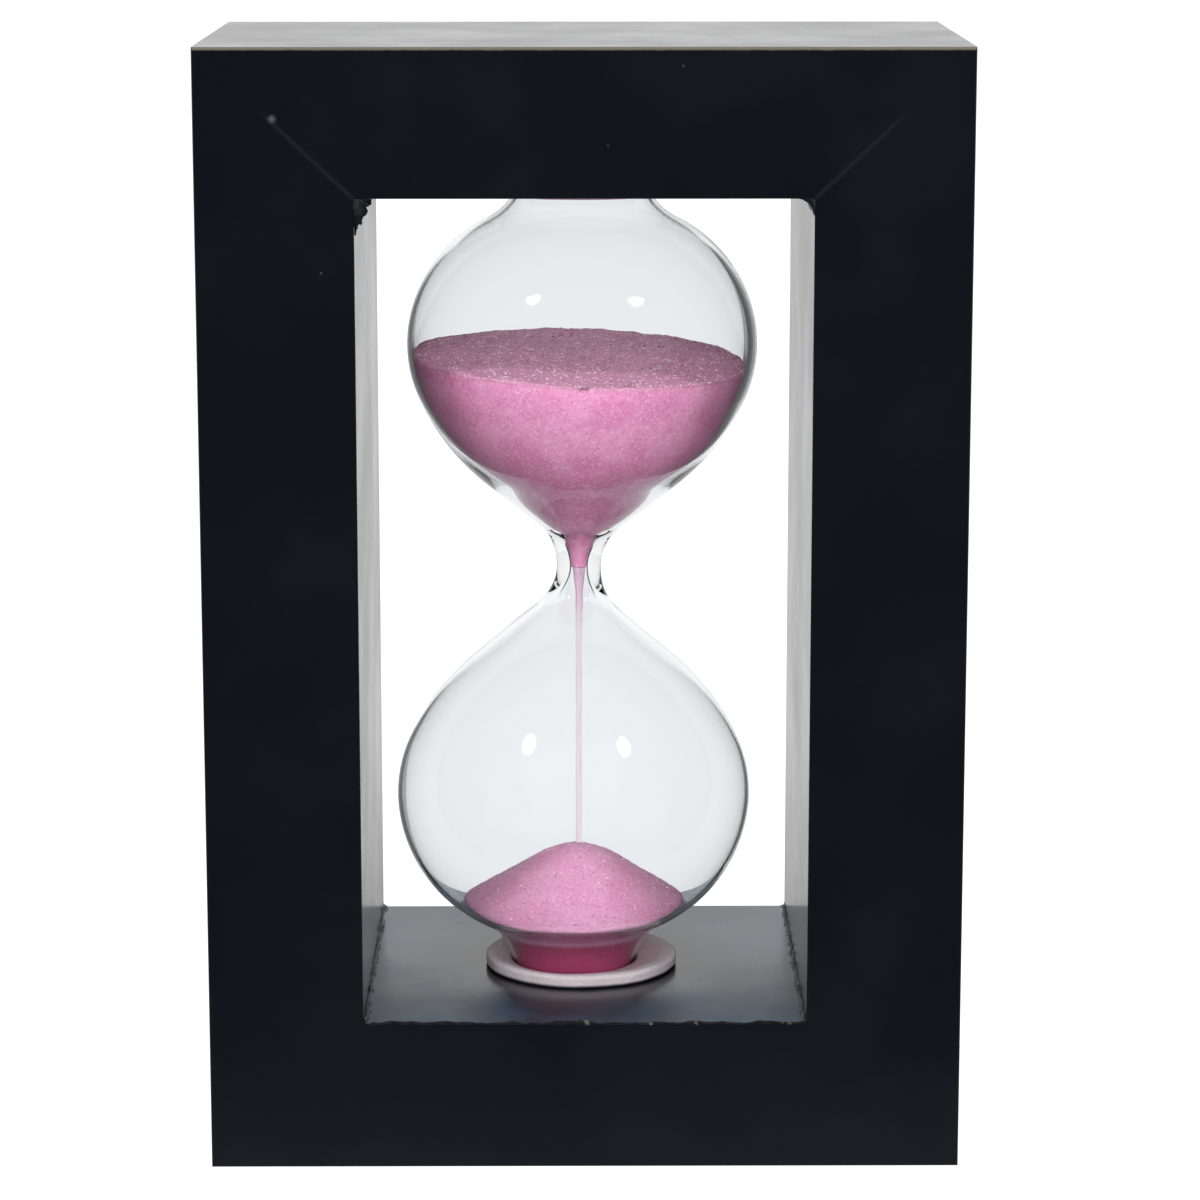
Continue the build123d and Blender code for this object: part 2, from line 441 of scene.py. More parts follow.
def blown(point, inside):
    # Sets both bulbs a little off the waist's axis. The upper one's wall is thick on its right and on a
    # ring above the waist, and the lower one's thins towards its foot.
    x, y, z = point
    above = z - vial["throatZ"]
    radius = math.hypot(x, y)
    if inside and above < 0 and radius > weld:
        thinned = vial["footThin"] * ease((-above - vial["footStart"]) / vial["footBlend"])
        wider = 1 + thinned / max(radius, vial["footCore"])
        x, y = x * wider, y * wider
    if inside and above > 0 and radius > weld:
        rightness = x / radius
        ledge = math.exp(-(((above - vial["ledgeRise"]) / vial["ledgeReach"]) ** 2))
        belly = ease((above - vial["bellyStart"]) / vial["bellyBlend"])
        belly *= ease((vial["bellyEnd"] - above) / vial["bellyBlend"])
        extra = vial["ledgeDepth"] * ledge
        extra += (vial["bellyExtra"] + vial["heavySide"] * rightness) * belly
        narrower = max(0, 1 - extra / max(radius, vial["bellyCore"]))
        x, y = x * narrower, y * narrower
    bulbX = vial["upperX"] if above > 0 else vial["lowerX"]
    x += vial["waistX"] + (bulbX - vial["waistX"]) * ease(abs(above) / vial["shearReach"])
    if radius > vial["waistRadius"]:
        drift = noise.noise(Vector((x, y, z)) / vial["wanderSize"]) * vial["wander"]
        x, y = x * (1 + drift / radius), y * (1 + drift / radius)
    return Vector((x, y, z))


def spinRound(bm, steps=vial["around"]):
    # Turns the outline into a closed skin round the upright axis
    geometry = list(bm.verts) + list(bm.edges)
    bmesh.ops.spin(
        bm, geom=geometry, cent=(0, 0, 0), axis=(0, 0, 1), angle=math.tau, steps=steps, use_merge=True
    )
    bmesh.ops.remove_doubles(bm, verts=bm.verts, dist=weld)
    bmesh.ops.recalc_face_normals(bm, faces=bm.faces)


def finishPiece(bm, name, material, replaced=()):
    # Makes the piece, rides it on the one body and hides the CAD nodes it stands for
    if bm.calc_volume(signed=True) < 0:  # a mirrored or hollow outline comes out inside out
        bmesh.ops.reverse_faces(bm, faces=bm.faces)
    mesh = bpy.data.meshes.new(name)
    for face in bm.faces:
        face.smooth = True
    bm.to_mesh(mesh)
    bm.free()
    mesh.materials.append(material)
    piece = bpy.data.objects.new(name, mesh)
    bpy.context.scene.collection.objects.link(piece)
    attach(piece, "root")
    if replaced:
        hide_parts(*replaced)
    return piece


def makeGlass():
    paint = Paint("clearBlownGlass")
    # faint waves left by the blowing
    wave = paint.grain(paint.stretch(paint.point(), (1, 1, 0.4)), vial["wave"], 1)
    sockets = {
        "Base Color": vial["tint"],
        "Roughness": 0.0,
        "IOR": vial["ior"],
        "Transmission Weight": 1.0,
        "Normal": paint.bump(wave, vial["waveDepth"]),
    }
    return paint.principled(sockets)


def bulbSkins(upperEnd, lowerEnd, inset=0.0, throat=None):
    # Both bulbs' outlines spun into one closed skin
    bm = bmesh.new()
    traceBulb(bm, upperBulb, 1, upperEnd, inset, throat)
    traceBulb(bm, lowerBulb, -1, lowerEnd, inset, throat)
    bmesh.ops.remove_doubles(bm, verts=bm.verts, dist=weld)
    spinRound(bm)
    for vert in bm.verts:
        vert.co = blown(vert.co, inset > 0)
    return bm


def makeVial():
    bm = bulbSkins(tubeTop, tubeBottom)
    bore = bulbSkins(tubeTop - vial["closedEnd"], tubeFloor, vial["wall"], vial["boreRadius"])
    bmesh.ops.reverse_faces(bore, faces=bore.faces)
    mesh = bpy.data.meshes.new("bore")
    bore.to_mesh(mesh)
    bore.free()
    bm.from_mesh(mesh)
    bpy.data.meshes.remove(mesh)
    piece = finishPiece(bm, "vial", makeGlass(), ["glass_vial"])
    piece.visible_shadow = False


makeVial()
print("vial blown")


# Sand

sand = {
    "gap": 0.04 * mm,
    "around": 256,
    "level": 106.3 * mm,
    "dropRight": 2.3,
    "dropFront": 2.2,
    "twist": 0.6,
    "topRings": 44,
    "traceEnd": 12 * mm,
    "heapTop": 37.1 * mm,
    "heapX": -0.8 * mm,
    "heapSlope": 33.0,
    "slopeCuts": 40,
    "crown": 9.5 * mm,
    "tubeZ": 25.3 * mm,
    "tubeFade": (0.6 * mm, 0.4 * mm),
    "lumpSize": 4 * mm,
    "gritSize": 0.9 * mm,
    "ruffleAbove": (0.22 * mm, 0.12 * mm),
    "ruffleBelow": (0.16 * mm, 0.09 * mm),
    "body": (0.74, 0.30, 0.50),
    "shade": (0.67, 0.23, 0.42),
    "pale": (0.86, 0.66, 0.76),
    # painted light on the open top surface, and painted shade darkening it towards the front
    "topPaintedLight": (0.80, 0.34, 0.53),
    "topPaintedShade": (0.30, 0.13, 0.21),
    "topShadeReach": (-5 * mm, -17 * mm),
    "heapBody": (0.60, 0.285, 0.44),
    "heapShade": (0.56, 0.23, 0.38),
    "heapPale": (0.72, 0.50, 0.61),
    # painted shade for the sand down in the tube's end
    "tubePaintedShade": (0.36, 0.05, 0.125),
    "ruby": (0.50, 0.08, 0.22),
    "drift": 6 * mm,
    "grain": 0.24 * mm,
    "grainDepth": 0.05 * mm,
    "grainRelief": 0.25,
    "paleShare": 0.36,
    "rubyShare": 0.45,
    "roughness": (0.45, 0.9),
    "looseTones": (
        (0.0, (0.24, 0.10, 0.16)),
        (0.4, (0.50, 0.22, 0.35)),
        (0.65, (0.74, 0.38, 0.55)),
        (0.95, (0.90, 0.72, 0.80)),
    ),
    "looseTone": 0.7 * mm,
    "looseFacet": 0.12 * mm,
    "looseRoughness": (0.35, 0.8),
    "looseAbove": 4600,
    "looseBelow": 900,
    "looseSize": (0.085, 0.155),
    "strewnAbove": 22.8 * mm,
    "strewnBelow": 15.2 * mm,
    "dropAbove": 0.12,
    "dropBelow": 0.06,
    "batch": 50,
    "dust": 110,
    "dustBands": ((42, 74), (44, 72), (110, 126)),
    "dustSize": 0.05 * mm,
    "dustOff": 0.06 * mm,
    "red": (0.50, 0.02, 0.02),
    "redDark": (0.30, 0.01, 0.02),
    "redAt": (-4.2 * mm, 15 * mm),
    "redSize": 0.26 * mm,
}
surfaceTilt = (math.tan(math.radians(sand["dropRight"])), math.tan(math.radians(sand["dropFront"])))
sandInset = vial["wall"] + sand["gap"]
sandThroat = vial["boreRadius"] - sand["gap"]


def makeSand(name, body, shade, pale, top=None, foot=None):
    # Packed sand with pale and ruby grains. top colours the open surface with painted light and shade, and
    # foot paints the tube's end darker as painted shade.
    paint = Paint(name)
    point = paint.point()
    grainDepth = paint.cells(point, sand["grain"])
    each = paint.eachCell(point, sand["grain"])
    drift = paint.grain(point, sand["drift"], 4, 0.6)
    colour = paint.mix(paint.between(drift, 0.38, 0.66), body, shade)
    x, y, z = paint.axes(point)
    # painted light and shade on the open surface: its own tone, lighter than the body, stands in for light
    # it lacks, and it is painted darker towards the front as painted shade
    if top:
        top = paint.mix(paint.between(y, *sand["topShadeReach"]) * 0.6, top, sand["topPaintedShade"])
        surface = z + x * surfaceTilt[0] - y * surfaceTilt[1] - sand["level"]
        colour = paint.mix(paint.between(surface, -0.5 * mm, -0.1 * mm), colour, top)
    colour = paint.mix(paint.between(each, 0.7, 1.0) * sand["paleShare"], colour, pale)
    colour = paint.mix(paint.between(each, 0.22, 0.0) * sand["rubyShare"], colour, sand["ruby"])
    # painted shade: the sand down in the tube's end is painted dark crimson
    if foot:
        above, below = sand["tubeFade"]
        inTube = paint.between(z, sand["tubeZ"] + above, sand["tubeZ"] - below)
        colour = paint.mix(inTube, colour, foot)
    sockets = {
        "Base Color": colour,
        "Roughness": paint.between(each, 0, 1, *sand["roughness"]),
        "Normal": paint.bump(1 - grainDepth, sand["grainDepth"], sand["grainRelief"]),
    }
    return paint.principled(sockets)


def makeGrainSand():
    # Single grains, each of its own tone
    paint = Paint("singleGrains")
    point = paint.point()
    each = paint.eachCell(point, sand["looseTone"])
    facet = paint.grain(point, sand["looseFacet"], 2)
    sockets = {
        "Base Color": paint.ramp(each, sand["looseTones"]),
        "Roughness": paint.between(facet, 0.3, 0.7, *sand["looseRoughness"]),
    }
    return paint.principled(sockets)


singleGrains = makeGrainSand()
levelSand = makeSand("levelledSand", sand["body"], sand["shade"], sand["pale"], sand["topPaintedLight"])
heapedSand = makeSand(
    "heapedSand", sand["heapBody"], sand["heapShade"], sand["heapPale"], None, sand["tubePaintedShade"]
)


def extrudeRun(bm, edges):
    # Extrudes a run of edges where it stands and returns its new vertices and edges
    made = bmesh.ops.extrude_edge_only(bm, edges=edges)["geom"]
    verts = {g for g in made if isinstance(g, bmesh.types.BMVert)}
    run = [g for g in made if isinstance(g, bmesh.types.BMEdge) and verts.issuperset(g.verts)]
    return list(verts), run


def closeOver(bm, centre, rings):
    # Covers the open rim with rings of faces that shrink to its centre
    rim = [edge for edge in bm.edges if edge.is_boundary]
    for left in range(rings, 0, -1):
        verts, rim = extrudeRun(bm, rim)
        shrink = Vector.Fill(3, (left - 1) / left)
        bmesh.ops.scale(bm, vec=shrink, space=Matrix.Translation(-centre), verts=verts)
    bmesh.ops.remove_doubles(bm, verts=bm.verts, dist=weld)
    bmesh.ops.recalc_face_normals(bm, faces=bm.faces)


def ruffle(bm, lump, grit):
    # Roughens the faces that look up, as loose sand lies
    upward = {vert for face in bm.faces if face.normal.z > 0.5 for vert in face.verts}
    for vert in upward:
        rise = noise.noise(vert.co / sand["lumpSize"]) * lump
        rise += noise.noise(vert.co / sand["gritSize"]) * grit
        vert.co.z += rise + (lump + grit) * 0.3


def pourAbove():
    # Fills the upper bulb up to a slightly twisted plane that drops to the right and to the front
    bm = bmesh.new()
    traceBulb(bm, upperBulb, 1, tubeTop - sand["traceEnd"], sandInset, sandThroat)
    throat = min(bm.verts, key=lambda vert: vert.co.z)
    reach(bm, throat, Vector((-throat.co.x, 0, 0)))
    spinRound(bm, sand["around"])
    for vert in bm.verts:
        vert.co = blown(vert.co, True)
    geometry = list(bm.verts) + list(bm.edges) + list(bm.faces)
    surface = Vector((surfaceTilt[0], -surfaceTilt[1], 1))
    middle = Vector((vial["upperX"], 0, sand["level"]))
    bmesh.ops.bisect_plane(
        bm, geom=geometry, dist=weld, plane_co=middle, plane_no=surface.normalized(), clear_outer=True
    )
    closeOver(bm, middle, sand["topRings"])
    for vert in bm.verts:
        if abs((vert.co - middle).dot(surface)) < weld:
            vert.co.z += sand["twist"] * vert.co.x * vert.co.y
    ruffle(bm, *sand["ruffleAbove"])
    return bm


def pourBelow():
    # The heap: a rounded peak, a slope at rest, and the bulb's wall below it
    bm = bmesh.new()
    traceBulb(bm, lowerBulb, -1, tubeFloor + sand["gap"], sandInset, sandThroat)
    slope = math.radians(sand["heapSlope"])
    crown = sand["crown"]
    crownEnd = Vector((crown * math.sin(slope), 0, sand["heapTop"] - crown * (1 - math.cos(slope))))
    bmesh.ops.bisect_plane(
        bm, geom=list(bm.verts) + list(bm.edges), dist=weld, plane_co=crownEnd,
        plane_no=(math.sin(slope), 0, math.cos(slope)), clear_outer=True
    )
    foot = max(bm.verts, key=lambda vert: vert.co.z)
    vert = reach(bm, foot, crownEnd - foot.co, sand["slopeCuts"])
    uphill = Vector((-math.cos(slope), 0, math.sin(slope)))
    vert, heading = swing(bm, vert, uphill, crown, sand["heapSlope"])
    vert.co.x = 0
    spinRound(bm, sand["around"])
    footRadius = foot.co.x
    peakShift = Vector((sand["heapX"] - vial["lowerX"], 0, 0))
    for vert in bm.verts:
        inward = 1 - min(1, math.hypot(vert.co.x, vert.co.y) / footRadius)
        vert.co = blown(vert.co, True)
        if vert.co.z > foot.co.z:
            vert.co += peakShift * inward
    ruffle(bm, *sand["ruffleBelow"])
    return bm


def strew(tree, dice, count, radius, centre, fromZ):
    # Places for loose grains, dropped at random on the sand's surface
    spots = []
    for grain in range(count):
        away = radius * math.sqrt(dice.random())
        turn = dice.uniform(0, math.tau)
        above = Vector((centre + away * math.cos(turn), away * math.sin(turn), fromZ))
        spot, normal, index, drop = tree.ray_cast(above, Vector((0, 0, -1)))
        if spot is not None and normal.z > 0.5:
            spots.append((spot, dice.uniform(*sand["looseSize"]) * mm))
    return spots


def stickToWall(tree, dice, count):
    # A little dust hangs on the inside of the glass
    spots = []
    for grain in range(count):
        turn = dice.uniform(0, math.tau)
        height = dice.choice([dice.uniform(*band) for band in sand["dustBands"]]) * mm
        way = Vector((math.cos(turn), math.sin(turn), 0))
        spot, normal, index, drop = tree.ray_cast(Vector((vial["waistX"], 0, height)), way)
        if spot is not None:
            spots.append((spot - way * sand["dustOff"], sand["dustSize"]))
    return spots


def growGrains(spots, dice):
    # Made in small batches, which is quicker than one long one
    grains = bmesh.new()
    mesh = bpy.data.meshes.new("batch")
    for first in range(0, len(spots), sand["batch"]):
        few = bmesh.new()
        for spot, size in spots[first:first + sand["batch"]]:
            axis = Vector((dice.random(), dice.random(), 1))
            widths = dice.uniform(0.7, 1.1), dice.uniform(0.7, 1.1), dice.uniform(0.6, 1.2)
            stretched = Matrix.Diagonal((*widths, 1))
            turned = Matrix.Rotation(dice.uniform(0, math.tau), 4, axis)
            place = Matrix.Translation(spot) @ turned @ stretched
            bmesh.ops.create_icosphere(few, subdivisions=1, radius=size, matrix=place)
        few.to_mesh(mesh)
        few.free()
        grains.from_mesh(mesh)
    bpy.data.meshes.remove(mesh)
    return grains


def makeRedGrain():
    paint = Paint("redGrain")
    fleck = paint.grain(paint.point(), 0.1 * mm)
    colour = paint.mix(paint.between(fleck, 0.3, 0.7), sand["red"], sand["redDark"])
    return paint.principled({"Base Color": colour, "Roughness": 0.6})


def pourSand():
    dice = random.Random(7)
    sandAbove, sandBelow = pourAbove(), pourBelow()
    treeAbove, treeBelow = BVHTree.FromBMesh(sandAbove), BVHTree.FromBMesh(sandBelow)
    fromAbove, fromBelow = sand["dropAbove"], sand["dropBelow"]
    above = strew(treeAbove, dice, sand["looseAbove"], sand["strewnAbove"], vial["upperX"], fromAbove)
    below = strew(treeBelow, dice, sand["looseBelow"], sand["strewnBelow"], sand["heapX"], fromBelow)
    cavity = bulbSkins(tubeTop - 2 * mm, tubeFloor, sandInset, sandThroat)
    dust = stickToWall(BVHTree.FromBMesh(cavity), dice, sand["dust"])
    cavity.free()
    redSpot = treeAbove.ray_cast(Vector((*sand["redAt"], fromAbove)), Vector((0, 0, -1)))[0]
    finishPiece(sandAbove, "sandAbove", levelSand, ["upper_sand"])
    finishPiece(sandBelow, "sandBelow", heapedSand, ["lower_sand"])
    finishPiece(growGrains(above, dice), "looseAbove", singleGrains)
    finishPiece(growGrains(below + dust, dice), "looseBelow", singleGrains)
    redGrain = growGrains([(redSpot, sand["redSize"])], dice)
    finishPiece(redGrain, "redGrain", makeRedGrain())


stream = {
    "colour": (0.74, 0.46, 0.60),
    "roughness": 0.8,
    "streak": 0.5 * mm,
    "thins": (9 * mm, 1 * mm),
    "cover": (0.30, 0.85),
    "sides": 12,
    "steps": 60,
    "thread": 0.40,
    "flare": 0.5,
    "flareReach": 3.2 * mm,
    "pulse": 2.5 * mm,
    "sway": 14 * mm,
    "swayWidth": 0.12 * mm,
}


def makeStreamSand():
    # Loose enough to see through below the throat
    paint = Paint("fallingSand")
    point = paint.point()
    streak = paint.grain(paint.stretch(point, (1, 1, 0.12)), stream["streak"], 3)
    x, y, z = paint.axes(point)
    thin, full = stream["thins"]
    thick = paint.between(z, vial["throatZ"] - thin, vial["throatZ"] - full, *stream["cover"])
    sockets = {
        "Base Color": stream["colour"],
        "Roughness": stream["roughness"],
        "Alpha": thick * paint.between(streak, 0.3, 0.7, 0.55, 1.0),
    }
    return paint.principled(sockets)


def pourStream():
    # Wide as the bore where it leaves the throat, then a thread down to the peak
    bm = bmesh.new()
    top = vial["throatZ"] - 0.1 * mm
    height = top - sand["heapTop"]
    bmesh.ops.create_circle(bm, segments=stream["sides"], radius=1, cap_ends=True)
    edges = [edge for edge in bm.edges if edge.is_boundary]
    for step in range(stream["steps"]):
        verts, edges = extrudeRun(bm, edges)
        bmesh.ops.translate(bm, vec=(0, 0, height / stream["steps"]), verts=verts)
    bmesh.ops.holes_fill(bm, edges=edges)
    for vert in bm.verts:
        fallen = height - vert.co.z
        wide = (stream["thread"] + stream["flare"] * math.exp(-fallen / stream["flareReach"])) * mm
        wide *= 1 + 0.15 * noise.noise(Vector((0, 0, vert.co.z / stream["pulse"])))
        sway = noise.noise(Vector((3, 0, vert.co.z / stream["sway"]))) * stream["swayWidth"]
        x = sand["heapX"] + (vial["waistX"] - sand["heapX"]) * vert.co.z / height + sway
        vert.co = Vector((vert.co.x * wide + x, vert.co.y * wide, vert.co.z + sand["heapTop"]))
    bmesh.ops.recalc_face_normals(bm, faces=bm.faces)
    finishPiece(bm, "fallingSand", makeStreamSand(), ["sand_stream"])


pourSand()
pourStream()
print("sand poured")


# Collars

collar = {
    "outer": 13.5 * mm,
    "thickness": 1.9 * mm,
    "dishDepth": 1.0 * mm,
    "dishWidth": 0.72,
    "edge": 0.6 * mm,
    "wobble": 0.16 * mm,
    "waver": 7 * mm,
    "nicks": 1.6 * mm,
    "slump": 5 * mm,
    "cream": (0.52, 0.475, 0.50),
    "creamShade": (0.50, 0.43, 0.45),
    "mottle": 3.2 * mm,
    "pore": 0.45 * mm,
    "poreDepth": 0.10 * mm,
    "roughness": 0.8,
    "sandPinkReflection": (0.56, 0.36, 0.43),
    # painted pink reflection of the sand near the glass, then a darker tone towards the bottom of the
    # lower collar
    "sandReflectionReach": (12.6 * mm, 10.2 * mm),
    "darkBottom": (0.045, 0.038, 0.042),
    "darkBottomReach": (0.85 * mm, 0.30 * mm),
    # the hole's radius, then how far the hole and the rim stand from the centre line
    "lower": (8.85 * mm, -1.48 * mm, -0.45 * mm),
    "upper": (9.0 * mm, -0.25 * mm, 0),
}


def makeSoftRubber():
    # Painted pink reflection of the sand near the glass, and darker towards the bottom where the lower
    # collar meets the floor
    paint = Paint("creamSoftRubber")
    point = paint.point()
    pore = paint.cells(point, collar["pore"])
    mottle = paint.grain(point, collar["mottle"], 4, 0.6)
    x, y, z = paint.axes(point)
    fromAxis = (x * x + y * y) ** 0.5
    # painted reflection: pink from the sand, strongest near the glass
    pinkReflected = paint.between(fromAxis + mottle * 1.2 * mm, *collar["sandReflectionReach"])
    colour = paint.mix(paint.between(mottle, 0.3, 0.75), collar["cream"], collar["creamShade"])
    colour = paint.mix(pinkReflected * 0.7, colour, collar["sandPinkReflection"])
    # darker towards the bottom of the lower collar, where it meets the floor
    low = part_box("lower_collar")[0].z
    plainAbove, darkBelow = collar["darkBottomReach"]
    darkenedBelow = paint.between(z + mottle * 0.3 * mm, low + plainAbove, low + darkBelow)
    colour = paint.mix(darkenedBelow * 0.9, colour, collar["darkBottom"])
    sockets = {
        "Base Color": colour,
        "Roughness": collar["roughness"],
        "Normal": paint.bump(pore + mottle, collar["poreDepth"], 0.6),
    }
    return paint.principled(sockets)


def makeCollar(name, node, hole, holeX, rimX, up, material):
    # Cut from sheet, so its outline wavers a little, and dished round the glass
    low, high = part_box(node)
    seat = low.z if up > 0 else high.z
    wide = collar["outer"] - hole
    bm = bmesh.new()
    vert = bm.verts.new((hole, 0, 0))
    vert = reach(bm, vert, Vector((0, 0, collar["thickness"] - collar["dishDepth"])), 3)
    dish = Vector((wide * collar["dishWidth"], 0, collar["dishDepth"]))
    vert = reach(bm, vert, dish, 8)
    vert = reach(bm, vert, Vector((collar["outer"] - collar["edge"] - vert.co.x, 0, 0)), 3)
    vert, heading = swing(bm, vert, Vector((1, 0, 0)), collar["edge"], -90)
    vert = reach(bm, vert, Vector((0, 0, collar["edge"] - vert.co.z)), 5)
    vert, heading = swing(bm, vert, Vector((0, 0, -1)), collar["edge"], -90)
    reach(bm, vert, Vector((hole - vert.co.x, 0, 0)), 6)
    bmesh.ops.remove_doubles(bm, verts=bm.verts, dist=weld)
    spinRound(bm)
    for vert in bm.verts:
        radius = math.hypot(vert.co.x, vert.co.y)
        outward = (radius - hole) / wide
        waver = noise.noise(vert.co / collar["waver"]) + 0.4 * noise.noise(vert.co / collar["nicks"])
        grow = 1 + (waver - 0.7) * collar["wobble"] * outward / radius
        height = vert.co.z * (1 - 0.05 * (1 + noise.noise(vert.co / collar["slump"])))
        x = vert.co.x * grow + holeX + (rimX - holeX) * outward
        vert.co = Vector((x, vert.co.y * grow, seat + up * height))
    finishPiece(bm, name, material, [node])


softRubber = makeSoftRubber()
makeCollar("lowerCollar", "lower_collar", *collar["lower"], 1, softRubber)
makeCollar("upperCollar", "upper_collar", *collar["upper"], -1, softRubber)
print("collars cut")


# Dried lacquer in the corners of the window and along its front lip

paintBeads = {
    "halfWidth": 29.8 * mm,
    "floorZ": 20 * mm,
    "roofZ": 131 * mm,
    "steps": 90,
    "runCuts": 12,
    "thinnest": 0.12,
    "sink": 0.06 * mm,
    "endGap": 0.1 * mm,
    "black": (0.004, 0.005, 0.007),
    "blackPale": (0.012, 0.013, 0.016),
    "crumb": 0.8 * mm,
    "crumbDepth": 0.12 * mm,
    "roughness": (0.42, 0.7),
    "chip": (0.13, 0.12, 0.11),
    "chipSize": 2.2 * mm,
    "lipZ": (22 * mm, 21 * mm),
    "lipY": (-28.6 * mm, -29.2 * mm),
    # name, side, legs across and down in mm, raggedness, lump in mm and, for the short run, its depth
    "roof": (
        ("beadTopLeft", -1, 1.9, 3.5, 0.8, 1.3, 4 * mm),
        ("beadTopRight", 1, 2.4, 3.0, 0.12, 2.2, None),
    ),
    "floor": (("beadFloorLeft", -1, 0.75), ("beadFloorRight", 1, 0.7)),
    "floorRise": 1.3,
    "floorRagged": 1.1,
    "floorLump": 2.6 * mm,
    "lip": (0.7 * mm, 0.4 * mm),
    "lipRagged": 1.2,
    "lipLump": 2.4 * mm,
}


def makeDriedLacquer():
    paint = Paint("driedLacquer")
    point = paint.point()
    crumb = paint.grain(point, paintBeads["crumb"], 4, 0.65)
    chip = paint.between(paint.grain(point, paintBeads["chipSize"], 4, 0.6), 0.60, 0.66)
    x, y, z = paint.axes(point)
    onLip = paint.between(z, *paintBeads["lipZ"]) * paint.between(y, *paintBeads["lipY"])
    colour = paint.mix(paint.between(crumb, 0.4, 0.7), paintBeads["black"], paintBeads["blackPale"])
    colour = paint.mix(chip * onLip * 0.8, colour, paintBeads["chip"])
    sockets = {
        "Base Color": colour,
        "Roughness": paint.between(crumb, 0.3, 0.8, *paintBeads["roughness"]),
        "Normal": paint.bump(crumb, paintBeads["crumbDepth"]),
    }
    return paint.principled(sockets)


def paintBead(name, start, end, legA, legB, ragged, lump, material, full=False):
    # A concave fillet from start to end whose legs waver, or a fuller run of lacquer
    bm = bmesh.new()
    corner = bm.verts.new((0, 0, 0))
    foot = reach(bm, corner, Vector((1, 0, 0)))
    if full:
        last = reach(bm, foot, Vector((-1, 0, 1)), paintBeads["runCuts"])
    else:
        last, heading = swing(bm, foot, Vector((-1, 0, 0)), 1, -90)
    bm.edges.new((last, corner))
    edges = list(bm.edges)
    bmesh.ops.contextual_create(bm, geom=edges)
    for step in range(paintBeads["steps"]):
        verts, edges = extrudeRun(bm, edges)
        bmesh.ops.translate(bm, vec=(0, 1 / paintBeads["steps"], 0), verts=verts)
    bmesh.ops.holes_fill(bm, edges=edges)
    length = (end - start).length
    sinkWay = (legA.normalized() + legB.normalized()) * -paintBeads["sink"]
    for vert in bm.verts:
        along = Vector((vert.co.x * 4, vert.co.y * length / lump, vert.co.z * 4)) + start * 90
        legs = []
        for offset in (0, 7):
            waver = noise.noise(along + Vector((offset, 0, 0))) + 0.5 * noise.noise(along * 3.1)
            legs.append(max(paintBeads["thinnest"], 1 + ragged * waver))
        reachA, reachB = legA * vert.co.x * legs[0], legB * vert.co.z * legs[1]
        vert.co = start.lerp(end, vert.co.y) + reachA + reachB + sinkWay
    bmesh.ops.recalc_face_normals(bm, faces=bm.faces)
    finishPiece(bm, name, material)


def makePaintBeads():
    material = makeDriedLacquer()
    side, floorZ, roofZ = paintBeads["halfWidth"], paintBeads["floorZ"], paintBeads["roofZ"]
    front, back = cadLow.y + paintBeads["endGap"], cadHigh.y - paintBeads["endGap"]
    for name, way, legX, legZ, ragged, lump, depth in paintBeads["roof"]:
        endY = front + depth if depth else back
        start, end = Vector((way * side, front, roofZ)), Vector((way * side, endY, roofZ))
        legs = Vector((-way * legX * mm, 0, 0)), Vector((0, 0, -legZ * mm))
        paintBead(name, start, end, *legs, ragged, lump * mm, material, full=bool(depth))
    for name, way, leg in paintBeads["floor"]:
        start, end = Vector((way * side, front, floorZ)), Vector((way * side, back, floorZ))
        legs = Vector((-way * leg * mm, 0, 0)), Vector((0, 0, leg * paintBeads["floorRise"] * mm))
        paintBead(name, start, end, *legs, paintBeads["floorRagged"], paintBeads["floorLump"], material)
    start, end = Vector((-side, front, floorZ)), Vector((side, front, floorZ))
    inward, upward = paintBeads["lip"]
    legs = Vector((0, inward, 0)), Vector((0, 0, upward))
    paintBead("lipRidge", start, end, *legs, paintBeads["lipRagged"], paintBeads["lipLump"], material)


makePaintBeads()
print("dried lacquer added")


# Studio: a pale floor and surround, two soft lamps and a broad fill in front

studio = {
    "floorSize": 12.0,
    "floorScatter": (0.22, 0.22, 0.22),
    "floorGlow": 0.72,
    "floorSheen": 0.95,
    "floorFade": (-0.12, 0.24),
    "roomFade": (-0.25, 0.35),
    "frontMatte": 0.62,
    "frontGlass": 0.85,
    "frontGloss": 0.06,
    "lampDistance": 0.9,
    "lampSize": (0.12, 0.14),
    "lampPower": 1.25,
    "lamps": ((-42, 46), (46, 44)),  # each lamp's azimuth and elevation
    "fillSize": (0.9, 0.6),
    "fillPower": 7.2,
    "fill": (4, 22),
}
view = {
    "place": (-1.1 * mm, -555.6 * mm, 182.5 * mm),
    "down": 11.22,
    "turn": -0.34,
    "lens": 122.1,
    "sensor": 36,
    "clip": (0.05, 30),
}
black = (0.0, 0.0, 0.0)
white = (1.0, 1.0, 1.0)


def roomLight(paint, y, front, behind):
    # The room is darker in front of the piece, above all for gloss, and plain white to the camera
    rays = paint.add("ShaderNodeLightPath")
    scattered = rays["Diffuse Depth"].math("MINIMUM", rays["Diffuse Depth"], 1)
    mirrored = rays["Is Glossy Ray"] * (1 - rays["Is Transmission Ray"])
    glass = studio["frontGlass"]
    straight = mirrored * (studio["frontGloss"] - glass) + glass
    dim = straight + scattered * (studio["frontMatte"] - straight)
    light = paint.between(y, front, behind) * (1 - dim) + dim
    seen = rays["Is Camera Ray"]
    light = seen * (1 - light) + light
    return paint.mix(light, black, white), seen, mirrored


